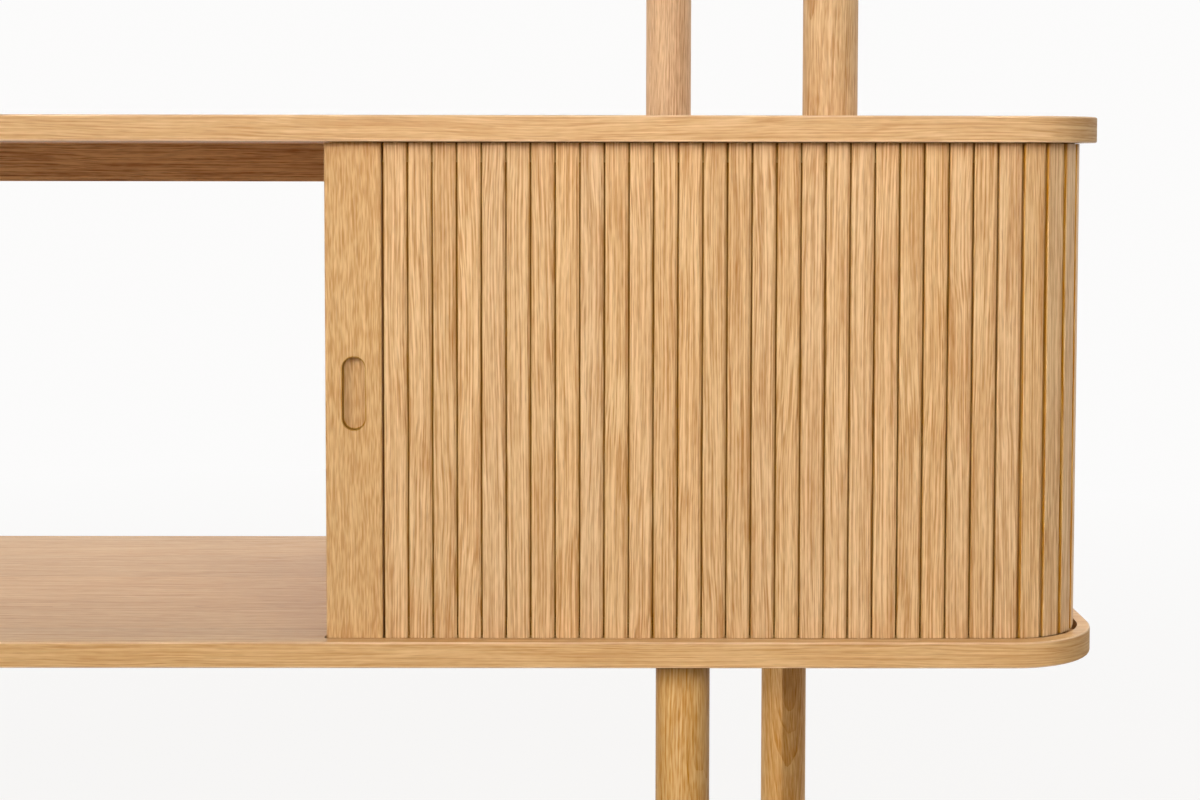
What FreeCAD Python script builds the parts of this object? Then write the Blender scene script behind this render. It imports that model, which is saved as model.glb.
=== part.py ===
"""Oak shelving unit whose middle tier holds a tambour door cabinet at its right-hand end.

Millimetres. The origin is on the floor under the middle of the unit, with +X to the right, +Y to the rear
and +Z up. The door is a chain of upright slats on a canvas back. Its pins run in one groove in each board,
along the front, round the right-hand end and along the back.
"""

import FreeCAD
import Part
import math
import os

Vector = FreeCAD.Vector
UP = Vector(0, 0, 1)
SIDEWAYS = Vector(1, 0, 0)

# Boards and tiers
board_length = 1400.0
board_depth = 400.0
board_thickness = 19.0
board_corner_radius = 70.0
board_edge_ease = 1.5
lower_tier_height = 360.0
cabinet_height = 360.0
upper_tier_height = 360.0

# Posts, staggered in pairs near each end
post_diameter = 40.0
post_edge_inset = 40.0
outer_post_end_distance = 201.0
post_stagger = 106.0
tenon_diameter = 22.0
tenon_length = 9.0
tenon_ease = 1.0
fit_clearance = 0.1
socket_end_clearance = 0.5

# Glides under the lower posts
glide_diameter = 30.0
glide_height = 4.0
glide_edge_ease = 1.0
glide_pin_diameter = 6.0
glide_pin_length = 14.0

# Groove in both boards, wider outward along the end
track_inset = 16.0
groove_width = 9.5
groove_end_relief = 3.3
groove_depth = 8.0
groove_overrun = 1.5

# Slats of the door
slat_pitch = 17.7
slat_gap = 0.9
slat_back_gap = 2.1
slat_thickness = 6.5
slat_bevel_width = 2.2
slat_bevel_depth = 1.7
slat_edge_ease = 0.8
slat_foot_clearance = 0.15
slat_head_clearance = 0.6
front_slat_count = 26
corner_slat_count = 4
side_slat_count = 10
pin_diameter = 3.5
pin_set_back = 1.25
pin_foot_clearance = 0.3
pin_head_clearance = 1.2

# Lead stile with its finger pull
stile_width = 41.0
stile_thickness = 13.0
stile_gap = 2.2
stile_edge_ease = 1.5
stile_rebate_width = 8.0
stile_pin_edge_distance = 8.0
pull_width = 16.5
pull_height = 53.0
pull_depth = 7.0
pull_drop = 1.5

# Canvas behind the slats
canvas_thickness = 0.6
canvas_gap = 0.1
canvas_end_margin = 14.0

# Cabinet box inside the track
panel_thickness = 18.0
panel_setback = 2.0
panel_door_clearance = 2.5
panel_track_clearance = 4.0

# Rail under the rear of the top board
stretcher_height = 33.0
stretcher_thickness = 18.0

# Dowels
dowel_diameter = 8.0
dowel_length = 30.0
dowel_board_depth = 8.0
dowel_end_clearance = 0.5
panel_dowel_shares = (0.15, 0.85)
back_dowel_shares = (0.1, 0.35, 0.9)
stretcher_dowel_shares = (0.15, 0.5, 0.85)

# Overrun of cutting tools past the faces that they cut
overrun = 1.0

# Places that follow from the sizes
half_length = board_length / 2
half_depth = board_depth / 2
corner_x = half_length - board_corner_radius
corner_y = half_depth - board_corner_radius
post_y = half_depth - post_edge_inset
outer_post_x = half_length - outer_post_end_distance
inner_post_x = outer_post_x - post_stagger
bottom_board_z = lower_tier_height
cabinet_floor_z = bottom_board_z + board_thickness
cabinet_ceiling_z = cabinet_floor_z + cabinet_height
upper_floor_z = cabinet_ceiling_z + board_thickness
upper_shelf_z = upper_floor_z + upper_tier_height
track_radius = board_corner_radius - track_inset
quarter_length = track_radius * math.pi / 2
slat_width = slat_pitch - slat_gap
slat_foot_z = cabinet_floor_z + slat_foot_clearance
slat_head_z = cabinet_ceiling_z - slat_head_clearance
pin_line_inset = track_inset + pin_set_back
groove_outer_inset = pin_line_inset - groove_width / 2
groove_inner_inset = pin_line_inset + groove_width / 2
pin_foot_z = cabinet_floor_z - groove_depth + pin_foot_clearance
pin_head_z = cabinet_ceiling_z + groove_depth - pin_head_clearance
first_side_slat = front_slat_count + corner_slat_count
lead_seam_x = corner_x + quarter_length - slat_pitch * first_side_slat - slat_pitch / 2
stile_right_x = lead_seam_x - stile_gap / 2
stile_left_x = stile_right_x - stile_width
door_face_inset = track_inset - slat_thickness / 2
stile_back_inset = door_face_inset + stile_thickness
side_panel_x = stile_left_x + panel_setback
side_panel_end_y = half_depth - stile_back_inset - panel_door_clearance
groove_inner_radius = board_corner_radius - groove_inner_inset
inner_corner_reach = (groove_inner_radius - panel_track_clearance) * math.sqrt(0.5)
inner_panel_x = corner_x + inner_corner_reach
inner_panel_y = corner_y + inner_corner_reach
inner_panel_left_x = inner_panel_x - panel_thickness
back_panel_front_y = inner_panel_y - panel_thickness
back_panel_left_x = side_panel_x + panel_thickness
stretcher_foot_z = cabinet_ceiling_z - stretcher_height
stretcher_front_y = post_y - stretcher_thickness / 2
stretcher_rear_y = post_y + stretcher_thickness / 2
stretcher_post_x = -inner_post_x


def box(x_low, x_high, y_low, y_high, z_low, z_high):
    """A box between these limits."""
    size = (x_high - x_low, y_high - y_low, z_high - z_low)
    return Part.makeBox(*size, Vector(x_low, y_low, z_low))


def upright_cylinder(x, y, z_low, z_high, diameter):
    """A round bar standing on z_low."""
    return Part.makeCylinder(diameter / 2, z_high - z_low, Vector(x, y, z_low), UP)


def level_edges(shape, height):
    """The edges of a shape that lie wholly at this height."""
    near = Part.Precision.confusion()
    return [e for e in shape.Edges if all(abs(v.Z - height) < near for v in e.Vertexes)]


def line(start, end):
    return Part.LineSegment(start, end).toShape()


def quarter_arc(centre, radius, start_angle):
    """A quarter of a circle in plan, anticlockwise from start_angle in degrees."""
    points = []
    for turn in (0, 45, 90):
        angle = math.radians(start_angle + turn)
        points.append(centre + Vector(radius * math.cos(angle), radius * math.sin(angle), 0))
    return Part.Arc(*points).toShape()


def track_edges(inset, end_relief, start_x, side_end_y=None, back_end_x=None):
    """The line at this inset from the board's edge, from start_x on the front round the right-hand end.

    Along that end it lies further out by end_relief. It ends on the side at side_end_y, or goes on round the
    rear corner to back_end_x on the back.
    """
    radius = board_corner_radius - inset
    turn_x = corner_x + end_relief
    edge_x = turn_x + radius
    edge_y = half_depth - inset
    edges = [
        line(Vector(start_x, -edge_y, 0), Vector(turn_x, -edge_y, 0)),
        quarter_arc(Vector(turn_x, -corner_y, 0), radius, -90),
    ]
    if back_end_x is None:
        return edges + [line(Vector(edge_x, -corner_y, 0), Vector(edge_x, side_end_y, 0))]
    return edges + [
        line(Vector(edge_x, -corner_y, 0), Vector(edge_x, corner_y, 0)),
        quarter_arc(Vector(turn_x, corner_y, 0), radius, 0),
        line(Vector(turn_x, edge_y, 0), Vector(back_end_x, edge_y, 0)),
    ]


def track_band(outer_inset, inner_inset, z_low, z_high, end_relief=0, **ends):
    """A solid between two lines of the track, of which the outer one has the relief along the end."""
    outer = track_edges(outer_inset, end_relief, **ends)
    inner = track_edges(inner_inset, 0, **ends)
    caps = [
        line(outer[0].firstVertex().Point, inner[0].firstVertex().Point),
        line(outer[-1].lastVertex().Point, inner[-1].lastVertex().Point),
    ]
    wire = Part.Wire(Part.__sortEdges__(outer + inner + caps))
    band = Part.Face(wire).extrude(Vector(0, 0, z_high - z_low))
    band.translate(Vector(0, 0, z_low))
    return band


def track_pose(travel):
    """Place and heading in degrees at this distance along the track, from where the front corner starts."""
    front_y = -half_depth + track_inset
    if travel <= 0:
        return Vector(corner_x + travel, front_y, 0), 0.0
    if travel >= quarter_length:
        beyond = travel - quarter_length
        return Vector(half_length - track_inset, -corner_y + beyond, 0), 90.0
    angle = travel / track_radius
    turned = Vector(math.sin(angle), -math.cos(angle), 0) * track_radius
    return Vector(corner_x, -corner_y, 0) + turned, math.degrees(angle)


def slat_travel(number):
    """Where slat number 0, 1, 2 and so on stands along the track with the door closed."""
    return quarter_length - slat_pitch * (first_side_slat - number)


# Board blanks, sockets and grooves


def board_blank(underside_z):
    """A board with rounded plan corners and eased edges."""
    top_z = underside_z + board_thickness
    blank = box(-half_length, half_length, -half_depth, half_depth, underside_z, top_z)
    level = level_edges(blank, underside_z) + level_edges(blank, top_z)
    upright = [e for e in blank.Edges if not any(e.isSame(other) for other in level)]
    blank = blank.makeFillet(board_corner_radius, upright)
    return blank.makeFillet(board_edge_ease, level_edges(blank, underside_z) + level_edges(blank, top_z))


def sockets(places, face_z, inward):
    """Blind round sockets for post tenons, from the face at face_z; inward is 1 up or -1 down."""
    bores = []
    for x, y in places:
        start_z = face_z - inward * overrun
        end_z = face_z + inward * (tenon_length + socket_end_clearance)
        diameter = tenon_diameter + 2 * fit_clearance
        bores.append(upright_cylinder(x, y, min(start_z, end_z), max(start_z, end_z), diameter))
    return bores


def groove(z_low, z_high):
    """The space that the door's pins run in."""
    start_x = stile_left_x - groove_overrun
    insets = (groove_outer_inset, groove_inner_inset)
    return track_band(*insets, z_low, z_high, groove_end_relief, start_x=start_x, back_end_x=start_x)


# Dowels: a solid and a bore for each place


def dowel_pair(joint_point, direction):
    """A dowel and its bore through a joint; direction points from the shallow side to the deep side."""
    start = joint_point - direction * dowel_board_depth
    dowel = Part.makeCylinder(dowel_diameter / 2, dowel_length, start, direction)
    bore_start = start - direction * dowel_end_clearance
    bore_radius = dowel_diameter / 2 + fit_clearance
    bore = Part.makeCylinder(bore_radius, dowel_length + 2 * dowel_end_clearance, bore_start, direction)
    return dowel, bore


def between(low, high, share):
    return low + (high - low) * share


def panel_dowel_places():
    """Plan places of the dowels in the head and foot of the three cabinet panels."""
    places = []
    for share in panel_dowel_shares:
        y = between(-side_panel_end_y, side_panel_end_y, share)
        places.append((side_panel_x + panel_thickness / 2, y))
        y = between(-inner_panel_y, inner_panel_y, share)
        places.append((inner_panel_x - panel_thickness / 2, y))
    for share in back_dowel_shares:
        x = between(back_panel_left_x, inner_panel_left_x, share)
        places.append((x, inner_panel_y - panel_thickness / 2))
    return places


def all_dowels():
    """Dowels and bores of the cabinet panels and the stretcher."""
    pairs = []
    for x, y in panel_dowel_places():
        pairs.append(dowel_pair(Vector(x, y, cabinet_floor_z), UP))
        pairs.append(dowel_pair(Vector(x, y, cabinet_ceiling_z), -UP))
    for share in stretcher_dowel_shares:
        x = between(stretcher_post_x, side_panel_x, share)
        pairs.append(dowel_pair(Vector(x, post_y, cabinet_ceiling_z), -UP))
    end_z = stretcher_foot_z + stretcher_height / 2
    post_face_x = stretcher_post_x + post_diameter / 2
    pairs.append(dowel_pair(Vector(post_face_x, post_y, end_z), SIDEWAYS))
    pairs.append(dowel_pair(Vector(side_panel_x, post_y, end_z), -SIDEWAYS))
    return [pair[0] for pair in pairs], [pair[1] for pair in pairs]


# Posts: front and rear ones swap places from tier to tier

lower_places = {
    "front_right": (inner_post_x, -post_y),
    "rear_right": (outer_post_x, post_y),
    "front_left": (-inner_post_x, -post_y),
    "rear_left": (-outer_post_x, post_y),
}
middle_places = {
    "front_left": (-outer_post_x, -post_y),
    "rear_left": (-inner_post_x, post_y),
}
upper_places = {
    "front_right": (outer_post_x, -post_y),
    "rear_right": (inner_post_x, post_y),
    "front_left": (-inner_post_x, -post_y),
    "rear_left": (-outer_post_x, post_y),
}


def tenon(x, y, shoulder_z, outward):
    """A round tenon with an eased end; outward is 1 up or -1 down."""
    end_z = shoulder_z + outward * tenon_length
    peg = upright_cylinder(x, y, min(shoulder_z, end_z), max(shoulder_z, end_z), tenon_diameter)
    return peg.makeChamfer(tenon_ease, level_edges(peg, end_z))


def post(x, y, foot_z, head_z, stands_on_board):
    shaft = upright_cylinder(x, y, foot_z, head_z, post_diameter)
    whole = shaft.fuse(tenon(x, y, head_z, 1))
    if stands_on_board:
        return whole.fuse(tenon(x, y, foot_z, -1)).removeSplitter()
    bore_diameter = glide_pin_diameter + 2 * fit_clearance
    bore_head_z = foot_z + glide_pin_length + socket_end_clearance
    bore = upright_cylinder(x, y, foot_z - overrun, bore_head_z, bore_diameter)
    return whole.removeSplitter().cut(bore)


def glide(x, y):
    """A round foot with a pin that is driven into the post."""
    disc = upright_cylinder(x, y, 0, glide_height, glide_diameter)
    disc = disc.makeFillet(glide_edge_ease, level_edges(disc, 0))
    pin = upright_cylinder(x, y, glide_height, glide_height + glide_pin_length, glide_pin_diameter)
    return disc.fuse(pin)


# Door


def eased_front_profile(left_x, right_x, front_y, back_points, ease):
    """A plan outline with rounded front edges, closed along the points given for its back."""
    side_y = front_y + ease
    left_round = quarter_arc(Vector(left_x + ease, side_y, 0), ease, 180)
    front = line(Vector(left_x + ease, front_y, 0), Vector(right_x - ease, front_y, 0))
    right_round = quarter_arc(Vector(right_x - ease, side_y, 0), ease, 270)
    back = Part.makePolygon([Vector(right_x, side_y, 0), *back_points, Vector(left_x, side_y, 0)])
    return Part.Face(Part.Wire([left_round, front, right_round, *back.Edges]))


def pins(x, y):
    """The round pins above and below a slat."""
    foot = upright_cylinder(x, y, pin_foot_z, slat_foot_z, pin_diameter)
    head = upright_cylinder(x, y, slat_head_z, pin_head_z, pin_diameter)
    return [foot, head]


def slat(number):
    """One slat, bevelled on its onward edge, eased on the other and narrower behind to turn, set on the track."""
    front_y = -slat_thickness / 2
    back_y = slat_thickness / 2
    half_width = slat_width / 2
    half_back = (slat_pitch - slat_back_gap) / 2
    outline = Part.makePolygon([
        Vector(half_width - slat_bevel_width, front_y, slat_foot_z),
        Vector(half_width, front_y + slat_bevel_depth, slat_foot_z),
        Vector(half_back, back_y, slat_foot_z),
        Vector(-half_back, back_y, slat_foot_z),
        Vector(-half_width, front_y + slat_edge_ease, slat_foot_z),
        Vector(slat_edge_ease - half_width, front_y, slat_foot_z),
        Vector(half_width - slat_bevel_width, front_y, slat_foot_z),
    ])
    blank = Part.Face(outline).extrude(Vector(0, 0, slat_head_z - slat_foot_z))
    whole = blank.fuse(pins(0, pin_set_back))
    place, heading = track_pose(slat_travel(number))
    whole.rotate(Vector(0, 0, 0), UP, heading)
    whole.translate(place)
    return whole


def finger_pull():
    """An upright stadium recess a little below the middle of the stile's front face."""
    front_y = -half_depth + door_face_inset
    x = stile_left_x + stile_width / 2
    z = (cabinet_floor_z + cabinet_ceiling_z) / 2 - pull_drop
    radius = pull_width / 2
    reach = pull_height / 2 - radius
    corners = [Vector(x + dx, front_y - overrun, z + dz) for dx, dz in
               ((radius, -reach), (radius, reach), (-radius, reach), (-radius, -reach))]
    crown = Vector(x, front_y - overrun, z + pull_height / 2)
    sole = Vector(x, front_y - overrun, z - pull_height / 2)
    edges = [
        line(corners[0], corners[1]),
        Part.Arc(corners[1], crown, corners[2]).toShape(),
        line(corners[2], corners[3]),
        Part.Arc(corners[3], sole, corners[0]).toShape(),
    ]
    return Part.Face(Part.Wire(edges)).extrude(Vector(0, pull_depth + overrun, 0))


def lead_stile():
    """The wide first slat, thicker behind, with a rebate for the canvas along its right-hand edge."""
    front_y = -half_depth + door_face_inset
    thick_y = front_y + stile_thickness
    rebate_y = front_y + slat_thickness
    rebate_x = stile_right_x - stile_rebate_width
    back = [
        Vector(stile_right_x, rebate_y, 0),
        Vector(rebate_x, rebate_y, 0),
        Vector(rebate_x, thick_y, 0),
        Vector(stile_left_x, thick_y, 0),
    ]
    profile = eased_front_profile(stile_left_x, stile_right_x, front_y, back, stile_edge_ease)
    profile.translate(Vector(0, 0, slat_foot_z))
    body = profile.extrude(Vector(0, 0, slat_head_z - slat_foot_z))
    pin_y = -half_depth + pin_line_inset
    for x in (stile_left_x + stile_pin_edge_distance, stile_right_x - stile_pin_edge_distance):
        body = body.fuse(pins(x, pin_y))
    return body.cut(finger_pull())


def canvas_backing():
    """The cloth that joins the stile and the slats, from the stile's rebate to the last slat."""
    outer_inset = track_inset + slat_thickness / 2 + canvas_gap
    inner_inset = outer_inset + canvas_thickness
    start_x = stile_right_x - stile_rebate_width + canvas_gap
    last_place, _ = track_pose(slat_travel(first_side_slat + side_slat_count - 1))
    end_y = last_place.y + slat_width / 2
    z_low = slat_foot_z + canvas_end_margin
    z_high = slat_head_z - canvas_end_margin
    return track_band(outer_inset, inner_inset, z_low, z_high, start_x=start_x, side_end_y=end_y)


# Cabinet box


def left_side_panel():
    x_high = side_panel_x + panel_thickness
    end_y = side_panel_end_y
    return box(side_panel_x, x_high, -end_y, end_y, cabinet_floor_z, cabinet_ceiling_z)


def right_inner_panel():
    end_y = inner_panel_y
    return box(inner_panel_left_x, inner_panel_x, -end_y, end_y, cabinet_floor_z, cabinet_ceiling_z)


def back_panel():
    y_low = back_panel_front_y
    x_high = inner_panel_left_x
    return box(back_panel_left_x, x_high, y_low, inner_panel_y, cabinet_floor_z, cabinet_ceiling_z)


def rear_stretcher():
    """A rail from a rear post, coped round it, to the side of the cabinet."""
    y_low, y_high = stretcher_front_y, stretcher_rear_y
    rail = box(stretcher_post_x, side_panel_x, y_low, y_high, stretcher_foot_z, cabinet_ceiling_z)
    cope_diameter = post_diameter + 2 * fit_clearance
    cope_foot_z = stretcher_foot_z - overrun
    cope_head_z = cabinet_ceiling_z + overrun
    return rail.cut(upright_cylinder(stretcher_post_x, post_y, cope_foot_z, cope_head_z, cope_diameter))


def build():
    dowels, dowel_bores = all_dowels()
    door_groove = [groove(cabinet_floor_z - groove_depth, cabinet_floor_z + overrun),
                   groove(cabinet_ceiling_z - overrun, cabinet_ceiling_z + groove_depth)]
    bottom_cuts = sockets(lower_places.values(), bottom_board_z, 1)
    bottom_cuts += sockets(middle_places.values(), cabinet_floor_z, -1)
    top_cuts = sockets(middle_places.values(), cabinet_ceiling_z, 1)
    top_cuts += sockets(upper_places.values(), upper_floor_z, -1)
    parts = {
        "bottom_board": board_blank(bottom_board_z).cut(bottom_cuts + door_groove[:1] + dowel_bores),
        "top_board": board_blank(cabinet_ceiling_z).cut(top_cuts + door_groove[1:] + dowel_bores),
        "upper_shelf": board_blank(upper_shelf_z).cut(sockets(upper_places.values(), upper_shelf_z, 1)),
        "left_side_panel": left_side_panel().cut(dowel_bores),
        "right_inner_panel": right_inner_panel().cut(dowel_bores),
        "back_panel": back_panel().cut(dowel_bores),
        "rear_stretcher": rear_stretcher().cut(dowel_bores),
        "dowels": Part.makeCompound(dowels),
    }
    for place, (x, y) in lower_places.items():
        parts[f"lower_post_{place}"] = post(x, y, glide_height, bottom_board_z, False)
    for place, (x, y) in middle_places.items():
        middle_post = post(x, y, cabinet_floor_z, cabinet_ceiling_z, True)
        parts[f"middle_post_{place}"] = middle_post.cut(dowel_bores)
    for place, (x, y) in upper_places.items():
        parts[f"upper_post_{place}"] = post(x, y, upper_floor_z, upper_shelf_z, True)
    parts["foot_glides"] = Part.makeCompound([glide(x, y) for x, y in lower_places.values()])
    parts["lead_stile"] = lead_stile()
    for number in range(first_side_slat):
        parts[f"slat_{number + 1:02d}"] = slat(number)
    side_slats = [slat(first_side_slat + number) for number in range(side_slat_count)]
    parts["side_slats"] = Part.makeCompound(side_slats)
    parts["canvas_backing"] = canvas_backing()
    return parts


os.makedirs("parts", exist_ok=True)
for name, shape in build().items():
    shape.exportStep(f"parts/{name}.step")
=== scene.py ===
"""Looks of an oak shelving unit with a tambour door cabinet in its middle tier.

Metres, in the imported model's frame: the origin is on the floor under the middle of the unit, +X runs to the
cabinet's end, +Y to the rear and +Z up. The oak is figured in three dimensions, about the middle of the log
that each piece is cut from, so that the faces, edges and end grain of a piece belong together.
"""

import math
import random

import bmesh
import bpy
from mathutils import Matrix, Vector


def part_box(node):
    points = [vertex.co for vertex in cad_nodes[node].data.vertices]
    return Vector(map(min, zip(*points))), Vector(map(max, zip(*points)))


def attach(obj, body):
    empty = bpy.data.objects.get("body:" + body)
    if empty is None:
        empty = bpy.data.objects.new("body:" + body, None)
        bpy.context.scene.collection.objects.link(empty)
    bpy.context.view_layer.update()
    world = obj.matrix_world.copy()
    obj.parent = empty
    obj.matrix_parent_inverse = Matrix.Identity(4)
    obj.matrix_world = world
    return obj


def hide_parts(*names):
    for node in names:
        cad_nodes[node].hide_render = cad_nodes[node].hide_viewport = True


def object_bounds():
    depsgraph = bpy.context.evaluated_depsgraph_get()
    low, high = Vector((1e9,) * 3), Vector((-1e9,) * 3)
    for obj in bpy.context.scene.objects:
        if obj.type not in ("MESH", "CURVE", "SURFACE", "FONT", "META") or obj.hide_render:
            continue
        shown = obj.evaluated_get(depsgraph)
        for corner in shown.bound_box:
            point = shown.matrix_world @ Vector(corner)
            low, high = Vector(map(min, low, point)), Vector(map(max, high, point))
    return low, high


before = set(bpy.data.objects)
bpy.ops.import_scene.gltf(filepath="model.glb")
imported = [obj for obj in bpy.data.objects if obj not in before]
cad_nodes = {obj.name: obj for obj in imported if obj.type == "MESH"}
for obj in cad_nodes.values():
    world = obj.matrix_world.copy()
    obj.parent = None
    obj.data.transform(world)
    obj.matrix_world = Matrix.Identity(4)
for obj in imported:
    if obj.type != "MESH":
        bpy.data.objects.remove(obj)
cad_low, cad_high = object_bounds()

# Sizes of the boards, the door and its track, as the model has them
CORNER_RADIUS = 0.070
TRACK_INSET = 0.016
TRACK_RADIUS = CORNER_RADIUS - TRACK_INSET
TRACK_QUARTER = TRACK_RADIUS * math.pi / 2
SLAT_PITCH = 0.0177
SLAT_THICKNESS = 0.0065
FRONT_SLATS = 26
CORNER_SLATS = 4
SINGLE_SLATS = FRONT_SLATS + CORNER_SLATS
SIDE_SLATS = 10
FIRST_TURNING_SLAT = 22


def slat_name(number):
    return f"slat_{number:02d}"


def slat_travel(number):
    """Where a slat, counted from 1 beside the stile, stands on the track."""
    return TRACK_QUARTER - SLAT_PITCH * (SINGLE_SLATS + 1 - number)


def track_pose(travel):
    """Place and heading on the track, at a distance from where its front corner starts."""
    corner = Vector((cad_high.x - CORNER_RADIUS, cad_low.y + CORNER_RADIUS, 0))
    if travel <= 0:
        return corner + Vector((travel, -TRACK_RADIUS, 0)), 0.0
    if travel >= TRACK_QUARTER:
        return corner + Vector((TRACK_RADIUS, travel - TRACK_QUARTER, 0)), math.pi / 2
    angle = travel / TRACK_RADIUS
    return corner + Vector((math.sin(angle), -math.cos(angle), 0)) * TRACK_RADIUS, angle


def level_direction(heading):
    """The level unit vector at a heading, counted from +X towards +Y."""
    return Vector((math.cos(heading), math.sin(heading), 0))


# Materials

# Numbers of a Mix node's two inputs and its output, by the kind of value that it mixes
MIX_SOCKETS = {"FLOAT": (2, 3, 0), "VECTOR": (4, 5, 1), "RGBA": (6, 7, 2)}
NOISE_ROUGHNESS = 0.5


class Graph:
    """A node tree that is filled from Python."""

    def __init__(self, tree):
        self.tree = tree
        self.tree.nodes.clear()

    def add(self, kind, inputs=None, output=0, **settings):
        """Adds a node and returns one of its outputs. An input is a value, or another node's output."""
        node = self.tree.nodes.new("ShaderNode" + kind)
        for name, value in settings.items():
            setattr(node, name, value)
        for key, value in (inputs or {}).items():
            if isinstance(value, bpy.types.NodeSocket):
                self.tree.links.new(value, node.inputs[key])
            else:
                node.inputs[key].default_value = value
        return node.outputs[output] if len(node.outputs) else node

    def place(self):
        """The point at hand, in the piece's own space."""
        return self.add("TexCoord", output="Object")

    def attribute(self, name, output="Fac"):
        """A value that the piece at hand carries as a property."""
        return self.add("Attribute", output=output, attribute_type="OBJECT", attribute_name=name)

    def maths(self, operation, first, second=0.0):
        return self.add("Math", {0: first, 1: second}, operation=operation)

    def sum(self, first, second):
        return self.maths("ADD", first, second)

    def product(self, first, second):
        return self.maths("MULTIPLY", first, second)

    def centred(self, share):
        """A share from 0 to 1, moved to a mean of nought."""
        return self.sum(share, -0.5)

    def joined(self, x, y, z):
        return self.add("CombineXYZ", {0: x, 1: y, 2: z})

    def split(self, vector):
        return list(self.add("SeparateXYZ", {0: vector}).node.outputs)

    def added(self, first, second):
        return self.add("VectorMath", {0: first, 1: second}, operation="ADD")

    def scaled(self, vector, factors):
        return self.add("VectorMath", {0: vector, 1: factors}, operation="MULTIPLY")

    def length(self, vector):
        return self.add("VectorMath", {0: vector}, output="Value", operation="LENGTH")

    def dot(self, first, second):
        return self.add("VectorMath", {0: first, 1: second}, output="Value", operation="DOT_PRODUCT")

    def noise(self, vector, waves, detail):
        """Noise from 0 to 1 with so many waves to the metre along each axis."""
        inputs = {"Vector": self.scaled(vector, waves), "Scale": 1.0, "Detail": detail}
        return self.add("TexNoise", {**inputs, "Roughness": NOISE_ROUGHNESS})

    def spread(self, value, low, high, new_low=0.0, new_high=1.0):
        """A value from low to high, mapped to the new limits and held there."""
        inputs = {"Value": value, "From Min": low, "From Max": high, "To Min": new_low, "To Max": new_high}
        return self.add("MapRange", inputs)

    def mixed(self, kind, factor, first, second):
        """The first where the factor is 0, the second where it is 1, and a blend between."""
        first_input, second_input, output = MIX_SOCKETS[kind]
        return self.add("Mix", {0: factor, first_input: first, second_input: second}, output, data_type=kind)


def new_material(name):
    material = bpy.data.materials.new(name)
    material.use_nodes = True
    return material, Graph(material.node_tree)


def finish_material(graph, shader):
    graph.add("OutputMaterial", {"Surface": shader})


# Oak

# Colours, linear, and how the finish takes the light
OAK_LIGHT = (0.78, 0.535, 0.282, 1)
OAK_DARK = (0.41, 0.165, 0.025, 1)
OAK_PORE = (0.20, 0.082, 0.022, 1)
OAK_GLOSS = 0.28
OAK_ROUGHNESS = 0.44
DARK_WOOD_ROUGHNESS = 0.12
MEAN_DARKNESS = 0.37
PORE_SHARE = 0.5
GRAIN_DEPTH = 0.00025
GRAIN_STRENGTH = 0.35
DARK_WOOD_DEPTH_SHARE = 0.35

# Yearly rings: their pitch, how unevenly they grow, how soon the early wood of a year ends, and how they tell
RING_PITCH = 0.0022
SEASON_WAVES = (130, 1, 1)
SEASON_YEARS = 2.4
EARLY_WOOD_POWER = 1.6
FAINTEST_RING = 0.2
MEAN_RING = 0.22

# Waves to the metre across, into and along the grain, from the broadest figure to the finest
DRIFT_WAVES = (11, 11, 2.4)
BROAD_WAVES = (30, 30, 2.4)
WOBBLE_WAVES = (70, 70, 12)
STREAK_WAVES = (150, 150, 5)
FIBRE_WAVES = (480, 480, 14)
LINE_WAVES = (850, 850, 8)
DASH_WAVES = (850, 850, 80)
VESSEL_WAVES = (1000, 1000, 64)

# How far the grain sways, and how much each kind of figure tells
DRIFT_REACH = 0.022
WOBBLE_REACH = 0.0026
INWARD_SWAY_SHARE = -0.7
BROAD_SHARE = 0.16
STREAK_SHARE = 0.08
FIBRE_SHARE = 0.25
LINE_LIMITS = (0.34, 0.66)
VESSEL_LIMITS = (0.54, 0.70)
LATE_WOOD_PORES = 0.3

# Staves of a glued-up piece: their width, how far apart their logs lie, and how their tones differ
STAVE_WIDTH = 0.089
STAVE_SHIFTS = (0.16, 0.05, 4.0)
STAVE_TONES = 0.10


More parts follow.
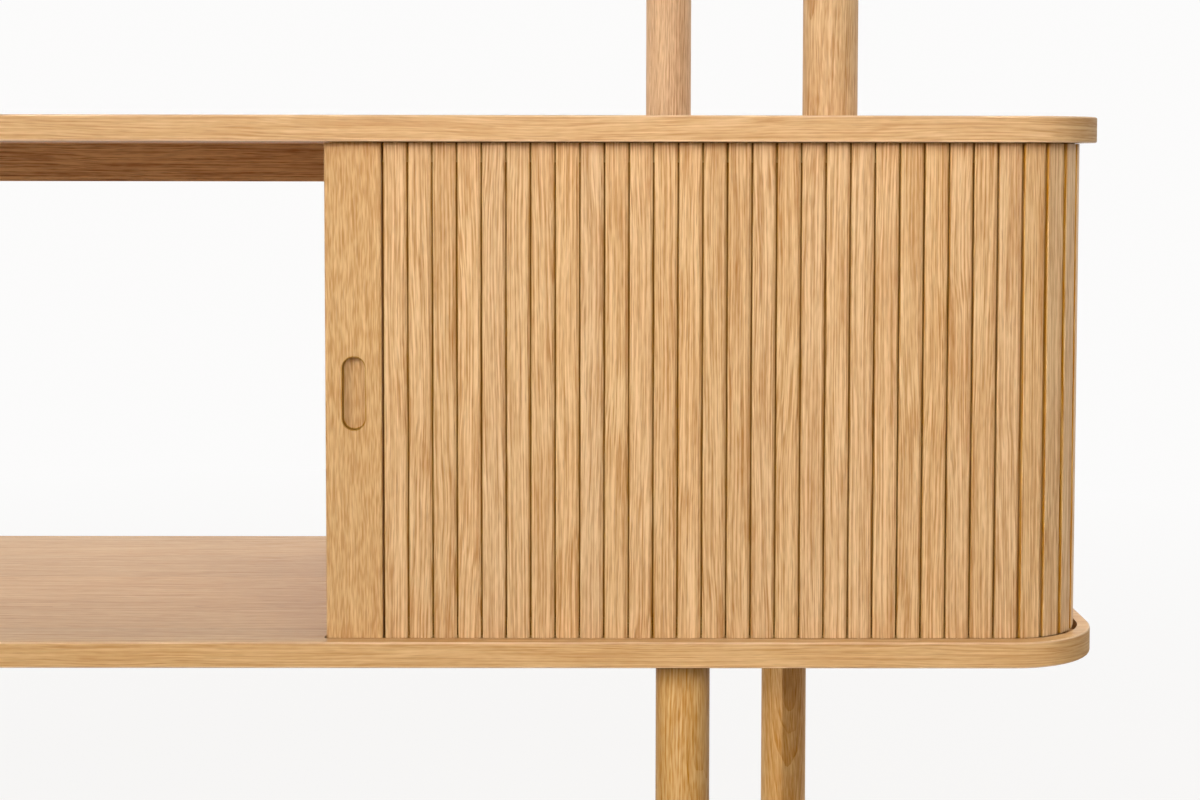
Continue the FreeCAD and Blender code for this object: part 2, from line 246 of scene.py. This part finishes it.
def oak_figure(graph, point, taper, waviness, rings, lines, dashes):
    """Shares of dark wood, about a mean of nought, and of open pores at a point of the log.

    The point is across, into and along the grain, from the middle of the log.
    """
    drift = graph.centred(graph.noise(point, DRIFT_WAVES, detail=2))
    wobble = graph.centred(graph.noise(point, WOBBLE_WAVES, detail=1))
    drift = graph.product(drift, DRIFT_REACH * waviness)
    wobble = graph.product(wobble, WOBBLE_REACH * waviness)
    sway = graph.sum(drift, wobble)
    across, into, along = graph.split(point)
    across = graph.sum(across, sway)
    into = graph.sum(into, graph.product(sway, INWARD_SWAY_SHARE))
    swayed = graph.joined(across, into, along)

    square = graph.sum(graph.product(across, across), graph.product(into, into))
    radius = graph.sum(graph.maths("SQRT", square), graph.product(along, taper))
    season = graph.noise(graph.joined(radius, 0.0, 0.0), SEASON_WAVES, detail=1)
    years = graph.sum(graph.product(radius, 1 / RING_PITCH), graph.product(season, SEASON_YEARS))
    rest_of_year = graph.maths("SUBTRACT", 1.0, graph.maths("FRACT", years))
    early_wood = graph.maths("POWER", rest_of_year, EARLY_WOOD_POWER)
    year = graph.add("TexWhiteNoise", {"W": graph.maths("FLOOR", years)}, noise_dimensions="1D")
    ring = graph.product(early_wood, graph.spread(year, 0.0, 1.0, FAINTEST_RING, 1.0))

    broad = graph.noise(point, BROAD_WAVES, detail=2)
    streak = graph.noise(swayed, STREAK_WAVES, detail=2)
    fibre = graph.noise(swayed, FIBRE_WAVES, detail=2)
    line = graph.spread(graph.noise(swayed, LINE_WAVES, detail=1), *LINE_LIMITS)
    dash = graph.spread(graph.noise(swayed, DASH_WAVES, detail=1), *LINE_LIMITS)
    dark = graph.product(graph.sum(ring, -MEAN_RING), rings)
    shares = ((line, lines), (fibre, FIBRE_SHARE), (dash, dashes),
              (streak, STREAK_SHARE), (broad, BROAD_SHARE))
    for part, share in shares:
        dark = graph.sum(dark, graph.product(graph.centred(part), share))

    vessels = graph.spread(graph.noise(swayed, VESSEL_WAVES, detail=1), *VESSEL_LIMITS)
    by_season = graph.sum(graph.product(early_wood, 1 - LATE_WOOD_PORES), LATE_WOOD_PORES)
    return dark, graph.product(vessels, by_season)


def oak_shader(graph, point, tone, warmth, roughness, gloss=OAK_GLOSS, contrast=1.0,
               taper=0.010, waviness=1.0, rings=0.3, lines=1.0, dashes=0.35):
    """Clear-finished oak at a point of the log."""
    dark, pores = oak_figure(graph, point, taper, waviness, rings, lines, dashes)
    dark = graph.add("Clamp", {0: graph.sum(graph.product(dark, contrast), MEAN_DARKNESS)})
    pores = graph.product(pores, contrast)
    wood = graph.mixed("RGBA", dark, OAK_LIGHT, OAK_DARK)
    wood = graph.mixed("RGBA", graph.product(pores, PORE_SHARE), wood, OAK_PORE)
    colour = graph.add("HueSaturation", {"Saturation": warmth, "Value": tone, "Color": wood})
    height = graph.sum(graph.product(pores, -1.0), graph.product(dark, -DARK_WOOD_DEPTH_SHARE))
    normal = graph.add("Bump", {"Height": height, "Strength": GRAIN_STRENGTH, "Distance": GRAIN_DEPTH})
    roughness = graph.sum(graph.product(dark, DARK_WOOD_ROUGHNESS), roughness)
    inputs = {"Base Color": colour, "Roughness": roughness, "Specular IOR Level": gloss, "Normal": normal}
    return graph.add("BsdfPrincipled", inputs)


def piece_values(graph):
    """Where the piece at hand lies in its log, how light it is and how warm."""
    return graph.attribute("log_place", "Vector"), graph.attribute("tone"), graph.attribute("warmth")


def staves(graph, point, tone, place, width):
    """Moves each stave of a glued-up piece to a log of its own, a little lighter or darker."""
    number = graph.maths("FLOOR", graph.product(place, 1 / width))
    chance = graph.add("TexWhiteNoise", {"W": number}, output="Color", noise_dimensions="1D")
    shift = graph.scaled(graph.added(chance, (-0.5, -0.5, -0.5)), STAVE_SHIFTS)
    tone = graph.sum(tone, graph.product(graph.centred(graph.split(chance)[0]), STAVE_TONES))
    return graph.added(point, shift), tone


def oak_material(name, axes, stave_width=None, roughness=OAK_ROUGHNESS, shade=None, **figure):
    """Oak in one direction.

    The axes are across, into and along the grain. Shade, where given, is a function that returns lightness
    and warmth by place.
    """
    material, graph = new_material(name)
    place = graph.split(graph.place())
    point = graph.joined(*(place["XYZ".index(axis)] for axis in axes))
    log_place, tone, warmth = piece_values(graph)
    if stave_width:
        point, tone = staves(graph, point, tone, place["XYZ".index(axes[0])], stave_width)
    if shade:
        lightness, richness = shade(graph, place)
        tone = graph.product(tone, lightness)
        warmth = graph.product(warmth, richness)
    shader = oak_shader(graph, graph.added(point, log_place), tone, warmth, roughness, **figure)
    finish_material(graph, shader)
    return material


def dress(name, material, axes=None, from_pith=(0.0, 0.0), tone=1.0, along=0.0, warmth=1.0):
    """Gives a node its material and, for wood, its place in the log, its lightness and its warmth."""
    piece = cad_nodes[name]
    piece.material_slots[0].material = material
    if axes is None:
        return
    low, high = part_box(name)
    middle = (low + high) / 2
    target = (*from_pith, along)
    piece["log_place"] = [target[i] - middle["XYZ".index(axis)] for i, axis in enumerate(axes)]
    piece["tone"] = tone
    piece["warmth"] = warmth


# Boards

BOARD_FROM_PITH = (0.03, 0.10)
BOARD_GLOSS = 0.055
BOARD_CONTRAST = 0.42
BOARD_WARMTH = 0.97
FACE_ROUGHNESS = 0.13
EDGE_ROUGHNESS = 0.50

# Where each board lies along its log, and its warmth
BOARD_LOGS = {
    "bottom_board": (0.0, 1.06),
    "top_board": (3.0, 1.01),
    "upper_shelf": (7.0, 1.03),
}

# The lipping's place in its log, and how far on the rear lipping's is
LIPPING_LOG_PLACE = (0.045, 0.05, 50.0)
REAR_LIPPING_ON = 5.0

# Slopes, as the upright part of the surface's normal: where the face gives way to the lipping, and where
# the eased edge between them starts from either side
FACE_TO_LIPPING = (0.80, 0.72)
LIPPING_TO_ARRIS = (0.05, 0.25)
FACE_TO_ARRIS = (0.99, 0.93)
# Painted highlight along the eased edges: how much lighter and how much paler they are drawn
ARRIS_HIGHLIGHT_LIGHTNESS = 1.16
ARRIS_HIGHLIGHT_WARMTH = 0.82

# Ends, as the part of the normal along X, and how dark their painted shade is
FRONT_TO_END = (0.30, 0.95)
END_SHADE_LIGHTNESS = 0.72


def round_the_edge(graph, x, y):
    """Length along a board's edge, from the middle of its front or rear round to the middle of an end."""
    straight_x = cad_high.x - CORNER_RADIUS
    straight_y = cad_high.y - CORNER_RADIUS
    from_middle_x = graph.maths("ABSOLUTE", x)
    from_middle_y = graph.maths("ABSOLUTE", y)
    over_x = graph.maths("MAXIMUM", graph.sum(from_middle_x, -straight_x), 0.0)
    over_y = graph.maths("MAXIMUM", graph.sum(from_middle_y, -straight_y), 0.0)
    bend = graph.product(graph.maths("ARCTAN2", over_x, over_y), CORNER_RADIUS)
    length = graph.sum(graph.maths("MINIMUM", from_middle_x, straight_x), bend)
    length = graph.sum(length, straight_y)
    length = graph.maths("SUBTRACT", length, graph.maths("MINIMUM", from_middle_y, straight_y))
    return graph.product(length, graph.maths("SIGN", x))


def board_material():
    """Boards glued up from staves along X, with a lipping whose grain follows the edge round the corners.

    The eased edges carry a painted highlight, lighter and paler than the faces, and the ends carry painted
    shade and are darker.
    """
    material, graph = new_material("oak_board")
    x, y, z = graph.split(graph.place())
    log_place, tone, warmth = piece_values(graph)
    from_rear = graph.maths("SUBTRACT", cad_high.y, y)
    face_point, face_tone = staves(graph, graph.joined(y, z, x), tone, from_rear, STAVE_WIDTH)
    rear = graph.maths("GREATER_THAN", y, 0.0)
    along = graph.sum(round_the_edge(graph, x, y), graph.product(rear, REAR_LIPPING_ON))
    edge_point = graph.added(graph.joined(z, 0.0, along), LIPPING_LOG_PLACE)

    normal = graph.split(graph.add("NewGeometry", output="Normal"))
    endways = graph.maths("ABSOLUTE", normal[0])
    upright = graph.maths("ABSOLUTE", normal[2])
    on_edge = graph.spread(upright, *FACE_TO_LIPPING)
    arris_highlight = graph.product(graph.spread(upright, *LIPPING_TO_ARRIS), graph.spread(upright, *FACE_TO_ARRIS))
    point = graph.added(graph.mixed("VECTOR", on_edge, face_point, edge_point), log_place)
    tone = graph.mixed("FLOAT", on_edge, face_tone, tone)
    # Painted shade: the ends are drawn darker
    tone = graph.product(tone, graph.spread(endways, *FRONT_TO_END, 1.0, END_SHADE_LIGHTNESS))
    # Painted highlight: the eased edges are drawn lighter
    tone = graph.product(tone, graph.spread(arris_highlight, 0.0, 1.0, 1.0, ARRIS_HIGHLIGHT_LIGHTNESS))
    warmth = graph.product(warmth, BOARD_WARMTH)
    # Painted highlight: the eased edges are drawn paler
    warmth = graph.product(warmth, graph.spread(arris_highlight, 0.0, 1.0, 1.0, ARRIS_HIGHLIGHT_WARMTH))
    roughness = graph.spread(on_edge, 0.0, 1.0, FACE_ROUGHNESS, EDGE_ROUGHNESS)
    finish_material(graph, oak_shader(graph, point, tone, warmth, roughness, BOARD_GLOSS, BOARD_CONTRAST))
    return material


def dress_boards():
    material = board_material()
    for name, (along, warmth) in BOARD_LOGS.items():
        dress(name, material, "YZX", BOARD_FROM_PITH, along=along, warmth=warmth)


# Panels and rail

PANEL_FROM_PITH = (0.05, 0.08)
RAIL_FROM_PITH = (0.06, 0.05)


def dress_panels():
    side = oak_material("oak_side_panel", "YXZ", STAVE_WIDTH, contrast=0.55)
    back = oak_material("oak_back_panel", "XYZ", STAVE_WIDTH, contrast=0.45)
    rail = oak_material("oak_rail", "ZYX")
    dress("left_side_panel", side, "YXZ", PANEL_FROM_PITH, along=11.0)
    dress("right_inner_panel", side, "YXZ", PANEL_FROM_PITH, along=13.0)
    dress("back_panel", back, "XYZ", PANEL_FROM_PITH, along=17.0)
    # The rail is drawn a little lighter and paler than the panels: painted light, as it stands in shade under
    # the top board
    dress("rear_stretcher", rail, "ZYX", RAIL_FROM_PITH, tone=1.06, along=19.0, warmth=0.82)


# Pieces cut from a log by chance

LOG_LENGTH = 40.0


def log_cut(chance, turns, reaches):
    """A place in the log at a chance angle and distance from its middle."""
    turn = chance.uniform(*turns)
    reach = chance.uniform(*reaches)
    return reach * math.cos(turn), reach * math.sin(turn)


# Posts

POST_SEED = 5
POST_TURNS = (-math.pi, 0.0)
POST_REACHES = (0.035, 0.08)
POST_TONE_CHANCE = 0.02

# Lightness and warmth of the posts that differ from the rest, partly their own tone and partly painted light:
# painted shade darkens the lower posts and the upper front post, and painted light makes the upper rear post
# lighter and paler
POST_TONES_AND_PAINTED_LIGHT = {
    "upper_post_rear_right": (1.04, 0.84),
    "upper_post_front_right": (0.92, 0.97),
    "lower_post_front_right": (0.64, 1.16),
    "lower_post_rear_right": (0.80, 1.14),
}


def dress_posts():
    material = oak_material("oak_post", "XYZ", roughness=0.50, contrast=0.62, taper=0.030, waviness=1.5,
                            rings=0.8, lines=0.6, dashes=0.6)
    chance = random.Random(POST_SEED)
    for name in sorted(n for n in cad_nodes if "_post_" in n):
        cut = log_cut(chance, POST_TURNS, POST_REACHES)
        tone, warmth = POST_TONES_AND_PAINTED_LIGHT.get(name, (1.0, 1.0))
        tone += chance.uniform(-POST_TONE_CHANCE, POST_TONE_CHANCE)
        dress(name, material, "XYZ", cut, tone, chance.uniform(0.0, LOG_LENGTH), warmth)


# Door

SLAT_SEED = 11
SLAT_TURNS = (0.1, 0.95)
SLAT_REACHES = (0.07, 0.16)
SLAT_TONES = (0.97, 1.04)
SLAT_WARMTHS = (0.95, 1.00)
SLAT_CONTRAST = 0.70
STILE_FROM_PITH = (0.095, 0.045)
SIDE_SLATS_FROM_PITH = (0.06, 0.08)

# Painted shade along the slats' long edges, in the seams between them: how far in from the edge it reaches,
# and how dark and warm it is
SLAT_EDGE_SHADE_WIDTH = 0.0005
SLAT_EDGE_SHADE_LIGHTNESS = 0.84
SLAT_EDGE_SHADE_WARMTH = 1.40

# The lead stile's finger pull: its middle, the radius of its ends and half the straight part of its sides
PULL_MIDDLE = (0.1534, 0.5575)
PULL_RADIUS = 0.00825
PULL_STRAIGHT = 0.01825
# Painted shade in the pull: how far from the rim it reaches, and how dark and warm it is
RIM_SHADE_WIDTH = 0.0009
RIM_SHADE_LIGHTNESS = 0.55
RIM_SHADE_WARMTH = 1.35


def painted_pull_shade(graph, place):
    """Lightness and warmth of the stile: painted shade darkens and warms the walls and rim of the finger
    pull.
    """
    x, _, z = place
    across = graph.sum(x, -PULL_MIDDLE[0])
    up = graph.sum(graph.maths("ABSOLUTE", graph.sum(z, -PULL_MIDDLE[1])), -PULL_STRAIGHT)
    up = graph.maths("MAXIMUM", up, 0.0)
    reach = graph.maths("SQRT", graph.sum(graph.product(across, across), graph.product(up, up)))
    from_rim = graph.maths("ABSOLUTE", graph.sum(reach, -PULL_RADIUS))
    lightness = graph.spread(from_rim, 0.0, RIM_SHADE_WIDTH, RIM_SHADE_LIGHTNESS, 1.0)
    warmth = graph.spread(from_rim, 0.0, RIM_SHADE_WIDTH, RIM_SHADE_WARMTH, 1.0)
    return lightness, warmth


def painted_slat_shade(graph, place):
    """Lightness and warmth of a slat: painted shade darkens and warms its long edges, in the seams."""
    low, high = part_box("slat_01")
    edge = (high.x - low.x) / 2
    edge_starts = edge - SLAT_EDGE_SHADE_WIDTH
    along = graph.dot(graph.joined(*place), graph.attribute("onward", "Vector"))
    off_middle = graph.maths("SUBTRACT", along, graph.attribute("middle_along"))
    off_middle = graph.maths("ABSOLUTE", off_middle)
    lightness = graph.spread(off_middle, edge_starts, edge, 1.0, SLAT_EDGE_SHADE_LIGHTNESS)
    warmth = graph.spread(off_middle, edge_starts, edge, 1.0, SLAT_EDGE_SHADE_WARMTH)
    return lightness, warmth


def dress_slat(number, material, chance):
    """Gives a slat its oak, and tells the material where its middle is and which way its width runs."""
    name = slat_name(number)
    cut = log_cut(chance, SLAT_TURNS, SLAT_REACHES)
    tone = chance.uniform(*SLAT_TONES)
    warmth = chance.uniform(*SLAT_WARMTHS)
    dress(name, material, "XYZ", cut, tone, chance.uniform(0.0, LOG_LENGTH), warmth)
    place, heading = track_pose(slat_travel(number))
    onward = level_direction(heading)
    cad_nodes[name]["onward"] = list(onward)
    cad_nodes[name]["middle_along"] = place.dot(onward)


def dress_door():
    stile = oak_material("oak_stile", "XYZ", shade=painted_pull_shade, contrast=0.5, lines=0.4, dashes=0.9)
    slat = oak_material("oak_slat", "XYZ", shade=painted_slat_shade, contrast=SLAT_CONTRAST)
    side = oak_material("oak_side_slat", "YXZ", SLAT_PITCH, contrast=SLAT_CONTRAST)
    dress("lead_stile", stile, "XYZ", STILE_FROM_PITH, tone=0.95, along=2.0, warmth=1.04)
    chance = random.Random(SLAT_SEED)
    for number in range(1, SINGLE_SLATS + 1):
        dress_slat(number, slat, chance)
    dress("side_slats", side, "YXZ", SIDE_SLATS_FROM_PITH, along=23.0)


# Small pieces

BEECH_LIGHT = (0.66, 0.45, 0.27, 1)
BEECH_FLECK = (0.45, 0.26, 0.13, 1)
FLECK_WAVES = (900, 900, 160)
FLECK_LIMITS = (0.52, 0.70)
BEECH_ROUGHNESS = 0.6

GLIDE_DARK = (0.36, 0.29, 0.21, 1)
GLIDE_LIGHT = (0.42, 0.34, 0.25, 1)
GLIDE_GRAIN_WAVES = (2600, 2600, 2600)
GLIDE_CLOUD_WAVES = (90, 90, 90)
GLIDE_ROUGHNESS = 0.5
GLIDE_GRAIN_ROUGHNESS = 0.2
GLIDE_GRAIN_DEPTH = 0.0001
GLIDE_GRAIN_STRENGTH = 0.3


def dowel_material():
    """Plain beech: pale, with short flecks along the dowel."""
    material, graph = new_material("beech_dowel")
    fleck = graph.spread(graph.noise(graph.place(), FLECK_WAVES, detail=2), *FLECK_LIMITS)
    colour = graph.mixed("RGBA", fleck, BEECH_LIGHT, BEECH_FLECK)
    shader = graph.add("BsdfPrincipled", {"Base Color": colour, "Roughness": BEECH_ROUGHNESS})
    finish_material(graph, shader)
    return material


def glide_material():
    """Matt moulded plastic with a fine spark-eroded texture."""
    material, graph = new_material("glide_plastic")
    place = graph.place()
    grain = graph.noise(place, GLIDE_GRAIN_WAVES, detail=2)
    cloud = graph.noise(place, GLIDE_CLOUD_WAVES, detail=2)
    colour = graph.mixed("RGBA", cloud, GLIDE_DARK, GLIDE_LIGHT)
    relief = {"Height": grain, "Strength": GLIDE_GRAIN_STRENGTH, "Distance": GLIDE_GRAIN_DEPTH}
    normal = graph.add("Bump", relief)
    roughness = graph.sum(graph.product(grain, GLIDE_GRAIN_ROUGHNESS), GLIDE_ROUGHNESS)
    shader = graph.add("BsdfPrincipled", {"Base Color": colour, "Roughness": roughness, "Normal": normal})
    finish_material(graph, shader)
    return material


# Canvas behind the slats

CANVAS_THICKNESS = 0.0006
CANVAS_GAP = 0.0001
CANVAS_STRIP_GAP = 0.0016
CANVAS_HEM = 0.009
CANVAS_FOLD = 0.0006
STILE_REBATE = 0.008
COLUMNS_PER_SLAT = 4
FEWEST_COLUMNS = 2

# The canvas is drawn darker and warmer than plain cotton: painted shade for the seams between the slats,
# where it shows
CANVAS_DARK = (0.26, 0.115, 0.036, 1)
CANVAS_LIGHT = (0.38, 0.19, 0.07, 1)
CANVAS_SHADES = (0.2, 0.8)
CANVAS_ROUGHNESS = 0.85
CANVAS_GLOSS = 0.1
THREAD_PITCH = 0.0011
THREAD_DEPTH = 0.0003
THREAD_STRENGTH = 0.5
WEAVE_SHARE = 0.25
SLUB_WAVES = (300, 300, 25)


def canvas_material():
    """Plain-woven cotton: warp and weft cross over and under, with uneven threads."""
    material, graph = new_material("woven_canvas")
    place = graph.place()
    x, y, z = graph.split(place)
    turn = 2 * math.pi / THREAD_PITCH
    warp = graph.maths("SINE", graph.product(graph.sum(x, y), turn))
    weft = graph.maths("SINE", graph.product(z, turn))
    weave = graph.product(warp, weft)
    slub = graph.noise(place, SLUB_WAVES, detail=2)
    shade = graph.sum(graph.product(weave, WEAVE_SHARE), slub)
    colour = graph.mixed("RGBA", graph.spread(shade, *CANVAS_SHADES), CANVAS_DARK, CANVAS_LIGHT)
    normal = graph.add("Bump", {"Height": weave, "Strength": THREAD_STRENGTH, "Distance": THREAD_DEPTH})
    inputs = {"Base Color": colour, "Roughness": CANVAS_ROUGHNESS, "Normal": normal}
    shader = graph.add("BsdfPrincipled", {**inputs, "Specular IOR Level": CANVAS_GLOSS})
    finish_material(graph, shader)
    return material


def canvas_mesh(name, place, heading, left, right, bottom, top):
    """A flat length of cloth, from left to right of a place on the track, hemmed at its bottom and top."""
    onward = level_direction(heading)
    inward = Vector((-onward.y, onward.x, 0))
    outer = SLAT_THICKNESS / 2 + CANVAS_GAP
    columns = max(FEWEST_COLUMNS, round((right - left) / SLAT_PITCH) * COLUMNS_PER_SLAT)
    levels = [bottom, bottom + CANVAS_HEM, bottom + CANVAS_HEM + CANVAS_FOLD]
    levels += [top - CANVAS_HEM - CANVAS_FOLD, top - CANVAS_HEM, top]
    layers_of_cloth = [2, 2, 1, 1, 2, 2]
    mesh = bmesh.new()
    fronts = []
    rears = []
    for level, layers in zip(levels, layers_of_cloth):
        front_row = []
        rear_row = []
        for column in range(columns + 1):
            along = left + (right - left) * column / columns
            base = place + onward * along + Vector((0, 0, level))
            front_row.append(mesh.verts.new(base + inward * outer))
            rear_row.append(mesh.verts.new(base + inward * (outer + CANVAS_THICKNESS * layers)))
        fronts.append(front_row)
        rears.append(rear_row)
    for row in range(len(levels) - 1):
        for column in range(columns):
            corners = ((row, column), (row, column + 1), (row + 1, column + 1), (row + 1, column))
            mesh.faces.new([fronts[r][c] for r, c in corners])
            mesh.faces.new([rears[r][c] for r, c in reversed(corners)])
        for column in (0, columns):
            rim = [fronts[row][column], fronts[row + 1][column], rears[row + 1][column], rears[row][column]]
            mesh.faces.new(rim if column == 0 else rim[::-1])
    for row in (0, len(levels) - 1):
        for column in range(columns):
            rim = [fronts[row][column], rears[row][column], rears[row][column + 1], fronts[row][column + 1]]
            mesh.faces.new(rim if row == 0 else rim[::-1])
    bmesh.ops.recalc_face_normals(mesh, faces=mesh.faces)
    data = bpy.data.meshes.new(name)
    mesh.to_mesh(data)
    mesh.free()
    return data


def canvas_piece(name, body, material, place, heading, left, right):
    """A length of canvas that rides on a body and lies against its slats."""
    canvas_low, canvas_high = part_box("canvas_backing")
    data = canvas_mesh(name, place, heading, left, right, canvas_low.z, canvas_high.z)
    data.materials.append(material)
    piece = bpy.data.objects.new(name, data)
    bpy.context.scene.collection.objects.link(piece)
    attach(piece, body)
    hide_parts("canvas_backing")


def hang_canvas():
    """A length behind the front slats and in the stile's rebate, a strip per turning slat, and the tail."""
    material = canvas_material()
    half_strip = (SLAT_PITCH - CANVAS_STRIP_GAP) / 2
    place, heading = track_pose(slat_travel(1))
    stile_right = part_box("lead_stile")[1].x
    left = stile_right - STILE_REBATE + CANVAS_GAP - place.x
    right = SLAT_PITCH * (FIRST_TURNING_SLAT - 2) + half_strip
    canvas_piece("canvas_front", "door_front", material, place, heading, left, right)
    for number in range(FIRST_TURNING_SLAT, SINGLE_SLATS + 1):
        place, heading = track_pose(slat_travel(number))
        slat = slat_name(number)
        name = f"canvas_strip_{number:02d}"
        canvas_piece(name, f"turning_{slat}", material, place, heading, -half_strip, half_strip)
    place, heading = track_pose(slat_travel(SINGLE_SLATS + 1))
    right = SLAT_PITCH * (SIDE_SLATS - 1) + half_strip
    canvas_piece("canvas_tail", "door_tail", material, place, heading, -half_strip, right)


# Stage

BACKDROP = (0.972, 0.967, 0.963, 1)
FLOOR_COLOUR = (0.42, 0.36, 0.28, 1)
FLOOR_HALF_WIDTH = 9.0

# The floor's own white: its share near the unit, and the distances between which it becomes full
NEAR_GLOW = 0.93
GLOW_STARTS = 0.9
GLOW_FULL = 3.0

# The unit's shadow on it: half its length and depth, its share of the white, and where it fades out
SHADOW_REACH = (0.95, 0.45)
UNDER_GLOW = 0.70
SHADOW_FADES = (0.6, 1.33)

# Depths between which the floor turns white in reflections too
MIRROR_DEPTHS = (-0.3, 0.3)

# Light of the room, and of its rear wall by how nearly a direction points there
AMBIENT_COLOUR = (1.0, 0.96, 0.90, 1)
AMBIENT = 0.20
WALL_LIGHT = 3.0
WALL_DIRECTION = (0.25, 0.95, 0.12)
WALL_LIMITS = (0.3, 0.95)


def seen_directly(graph, mirrored=1.0):
    """1 for what the camera sees, also through glass, and 0 for what only gives light.

    Mirrored is the value for what shows in a reflection.
    """
    path = graph.add("LightPath").node
    seen = graph.maths("MAXIMUM", path.outputs["Is Camera Ray"], path.outputs["Is Transmission Ray"])
    return graph.maths("MAXIMUM", seen, graph.product(path.outputs["Is Glossy Ray"], mirrored))


def floor_material():
    """A pale floor that keeps the shadow near the unit and fades into the white of the room."""
    material, graph = new_material("pale_floor")
    diffuse = graph.add("BsdfDiffuse", {"Color": FLOOR_COLOUR})
    glow = graph.add("Emission", {"Color": BACKDROP, "Strength": 1.0})
    place = graph.place()
    glow_share = graph.spread(graph.length(place), GLOW_STARTS, GLOW_FULL, NEAR_GLOW, 1.0)
    from_unit = graph.length(graph.scaled(place, (1 / SHADOW_REACH[0], 1 / SHADOW_REACH[1], 0.0)))
    glow_share = graph.product(glow_share, graph.spread(from_unit, *SHADOW_FADES, UNDER_GLOW, 1.0))
    behind = graph.spread(graph.split(place)[1], *MIRROR_DEPTHS)
    share = graph.product(seen_directly(graph, behind), glow_share)
    finish_material(graph, graph.add("MixShader", {0: share, 1: diffuse, 2: glow}))
    return material


def build_floor():
    half = FLOOR_HALF_WIDTH
    corners = [(-half, -half, 0), (half, -half, 0), (half, half, 0), (-half, half, 0)]
    data = bpy.data.meshes.new("floor")
    data.from_pydata(corners, [], [(0, 1, 2, 3)])
    data.materials.append(floor_material())
    floor = bpy.data.objects.new("floor", data)
    bpy.context.scene.collection.objects.link(floor)


def build_room():
    """A white room, lit from its rear wall."""
    world = bpy.data.worlds.new("white_room")
    world.use_nodes = True
    graph = Graph(world.node_tree)
    towards_wall = graph.dot(graph.add("TexCoord", output="Generated"), WALL_DIRECTION)
    strength = graph.spread(towards_wall, *WALL_LIMITS, AMBIENT, WALL_LIGHT)
    light = graph.add("Background", {"Color": AMBIENT_COLOUR, "Strength": strength})
    white = graph.add("Background", {"Color": BACKDROP, "Strength": 1.0})
    surface = graph.add("MixShader", {0: seen_directly(graph), 1: light, 2: white})
    graph.add("OutputWorld", {"Surface": surface})
    bpy.context.scene.world = world


# Lamps

LAMP_COLOUR = (1.0, 0.99, 0.97)
SPOT_BLEND = 0.05

# What the lamps point at
UPPER_DOOR = (0.42, -0.15, 0.85)
LOWER_DOOR = (0.35, -0.15, 0.55)
CABINET_END = (0.68, 0.0, 0.40)
LOWER_POSTS = (0.446, 0.0, -0.114)


def area_lamp(name, aim, azimuth, elevation, distance, size, power, beam=180):
    """An oblong soft lamp; azimuth is in degrees to the left of the front, elevation above the level."""
    data = bpy.data.lights.new(name, "AREA")
    data.shape = "RECTANGLE"
    data.size, data.size_y = size
    data.spread = math.radians(beam)
    data.energy = power
    data.color = LAMP_COLOUR
    lamp = bpy.data.objects.new(name, data)
    bpy.context.scene.collection.objects.link(lamp)
    turn = math.radians(azimuth)
    rise = math.radians(elevation)
    away = Vector((-math.sin(turn) * math.cos(rise), -math.cos(turn) * math.cos(rise), math.sin(rise)))
    lamp.location = Vector(aim) + away * distance
    lamp.rotation_euler = away.to_track_quat("Z", "Y").to_euler()
    lamp.visible_camera = False
    lamp.visible_glossy = False


def low_spot(name, aim, place, radius, power, beam):
    """A narrow beam near the floor, which throws the front post's shadow on the rear post."""
    data = bpy.data.lights.new(name, "SPOT")
    data.energy = power
    data.color = LAMP_COLOUR
    data.shadow_soft_size = radius
    data.spot_size = math.radians(beam)
    data.spot_blend = SPOT_BLEND
    lamp = bpy.data.objects.new(name, data)
    bpy.context.scene.collection.objects.link(lamp)
    lamp.location = place
    lamp.rotation_euler = (Vector(place) - Vector(aim)).to_track_quat("Z", "Y").to_euler()
    lamp.visible_camera = False


def build_light():
    area_lamp("key_lamp", UPPER_DOOR, azimuth=12, elevation=22, distance=2.6,
              size=(0.7, 1.4), power=6.6, beam=80)
    area_lamp("side_lamp", UPPER_DOOR, azimuth=45, elevation=7, distance=4.5,
              size=(0.25, 0.25), power=3.7, beam=40)
    area_lamp("fill_lamp", LOWER_DOOR, azimuth=-26, elevation=22, distance=3.0,
              size=(0.6, 1.2), power=20)
    area_lamp("top_lamp", CABINET_END, azimuth=-60, elevation=83, distance=8.0,
              size=(1.2, 1.2), power=13, beam=60)
    low_spot("post_lamp", LOWER_POSTS, place=(-0.584, -2.461, 0.27), radius=0.006, power=138, beam=20)


# Camera, found from the edges, seams and posts in the photograph

IMAGE_WIDTH = 1200
IMAGE_HEIGHT = 800
SENSOR_WIDTH = 36.0
FOCAL_PIXELS = 1979.12
OPTICAL_CENTRE_ROW = 260
CAMERA_PLACE = (0.32676, -1.60913, 0.72900)
CAMERA_PITCH = 0.05252
CAMERA_ROLL = -0.00144
CAMERA_YAW = 0.0030


def build_camera():
    data = bpy.data.cameras.new("camera")
    data.sensor_width = SENSOR_WIDTH
    data.lens = SENSOR_WIDTH * FOCAL_PIXELS / IMAGE_WIDTH
    data.shift_y = (OPTICAL_CENTRE_ROW - IMAGE_HEIGHT / 2) / IMAGE_WIDTH
    camera = bpy.data.objects.new("camera", data)
    camera.location = CAMERA_PLACE
    camera.rotation_euler = (math.pi / 2 - CAMERA_PITCH, CAMERA_ROLL, -CAMERA_YAW)
    bpy.context.scene.collection.objects.link(camera)
    bpy.context.scene.camera = camera


dress_boards()
dress_panels()
dress_posts()
dress_door()
dress("dowels", dowel_material())
dress("foot_glides", glide_material())
hang_canvas()
build_floor()
build_room()
build_light()
build_camera()
bpy.context.scene.view_settings.view_transform = "Standard"
